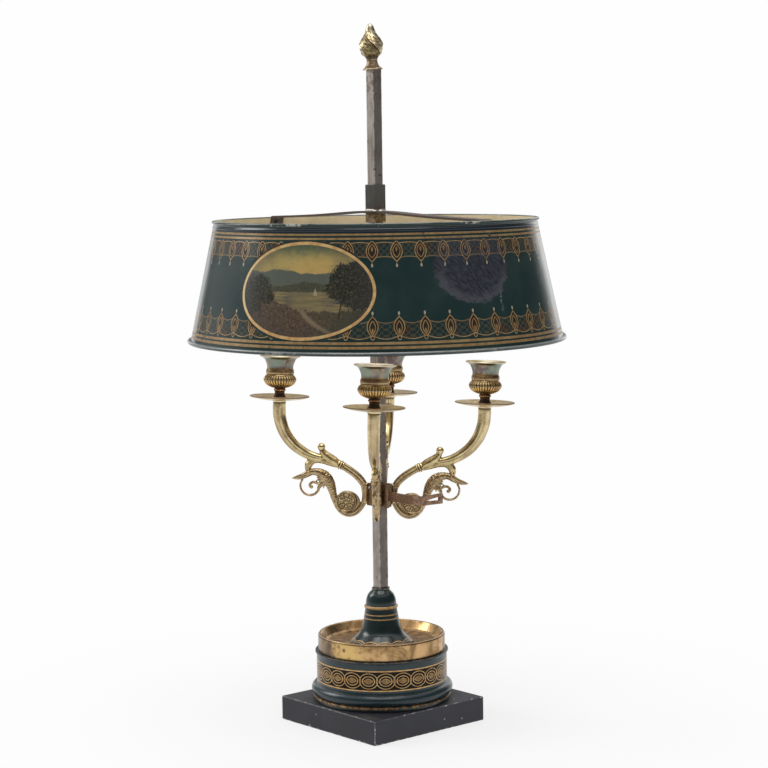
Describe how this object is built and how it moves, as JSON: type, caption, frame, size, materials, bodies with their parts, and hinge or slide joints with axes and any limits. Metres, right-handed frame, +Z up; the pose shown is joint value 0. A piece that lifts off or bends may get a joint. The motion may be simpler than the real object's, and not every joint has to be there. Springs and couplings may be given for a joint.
{
  "type": "bouillotte lamp",
  "caption": "Bouillotte lamp: candle branches on a clamped sliding hub and a painted metal shade that slides on the same square stem, on a weighted drum and plinth.",
  "frame": {"origin": "on the table, on the stem's axis, under the middle of the plinth", "axes": "+Z up the stem; the shade's strap lies along Y, the clamp lever points along -Y and the branches lie on the diagonals"},
  "size_m": [0.3773, 0.3774, 0.6982],
  "materials": {
    "ebonised_wood": "ebonised and waxed, chipped at the edges",
    "tole_base": "dark blue-green japanned sheet with gilt lines",
    "iron_weight": "rough casting, hidden",
    "tray_brass": "polished brass with tarnish",
    "stem_iron": "drawn square iron with rust pits",
    "hidden_iron": "plain iron, hidden",
    "gilt_brass": "gilt brass, worn",
    "aged_brass": "aged brass with dark recesses",
    "pan_brass": "turned brass, worn lacquer",
    "nozzle_brass": "turned brass with greenish and purple heat tarnish",
    "rusty_iron": "forged iron, brown with rust",
    "tole_shade": "deep green-black japanned sheet with gilt borders, cream inside",
    "strap_iron": "forged iron strap with worn paint",
    "sheath_iron": "dark grey-green paint worn to rust",
    "spring_steel": "spring steel"
  },
  "bodies": {
    "base": {"plinth": "ebonised_wood", "drum": "tole_base", "ballast": "iron_weight", "tray": "tray_brass", "pedestal": "tole_base", "stem": "stem_iron", "stem_nut": "hidden_iron", "stem_washer": "hidden_iron", "finial": "gilt_brass"},
    "branches": {"hub": "aged_brass", "lever_pin": "rusty_iron", "arm_front": "aged_brass", "arm_right": "aged_brass", "arm_back": "aged_brass", "arm_left": "aged_brass", "drip_pan_front": "pan_brass", "drip_pan_right": "pan_brass", "drip_pan_back": "pan_brass", "drip_pan_left": "pan_brass", "urn_front": "aged_brass", "urn_right": "aged_brass", "urn_back": "aged_brass", "urn_left": "aged_brass", "nozzle_front": "nozzle_brass", "nozzle_right": "nozzle_brass", "nozzle_back": "nozzle_brass", "nozzle_left": "nozzle_brass", "candle_studs": "hidden_iron"},
    "lever": {"clamp_lever": "rusty_iron"},
    "shade": {"shade_shell": "tole_shade", "shade_top_wire": "hidden_iron", "shade_bottom_wire": "hidden_iron", "shade_strap": "strap_iron", "strap_rivets": "strap_iron", "sheath": "sheath_iron", "sheath_spring": "spring_steel"}
  },
  "joints": [
    {"name": "shade_slide", "type": "slide", "parent": "base", "child": "shade", "axis": [0, 0, 1], "range_m": [-0.19, 0.111]},
    {"name": "branch_slide", "type": "slide", "parent": "base", "child": "branches", "axis": [0, 0, 1], "range_m": [-0.08, 0.06]},
    {"name": "lever_turn", "type": "hinge", "parent": "branches", "child": "lever", "pos_m": [-0.00003, -0.01155, 0.2301], "axis": [-0.0506, 0, -0.9987], "range_deg": [0, 40]}
  ]
}
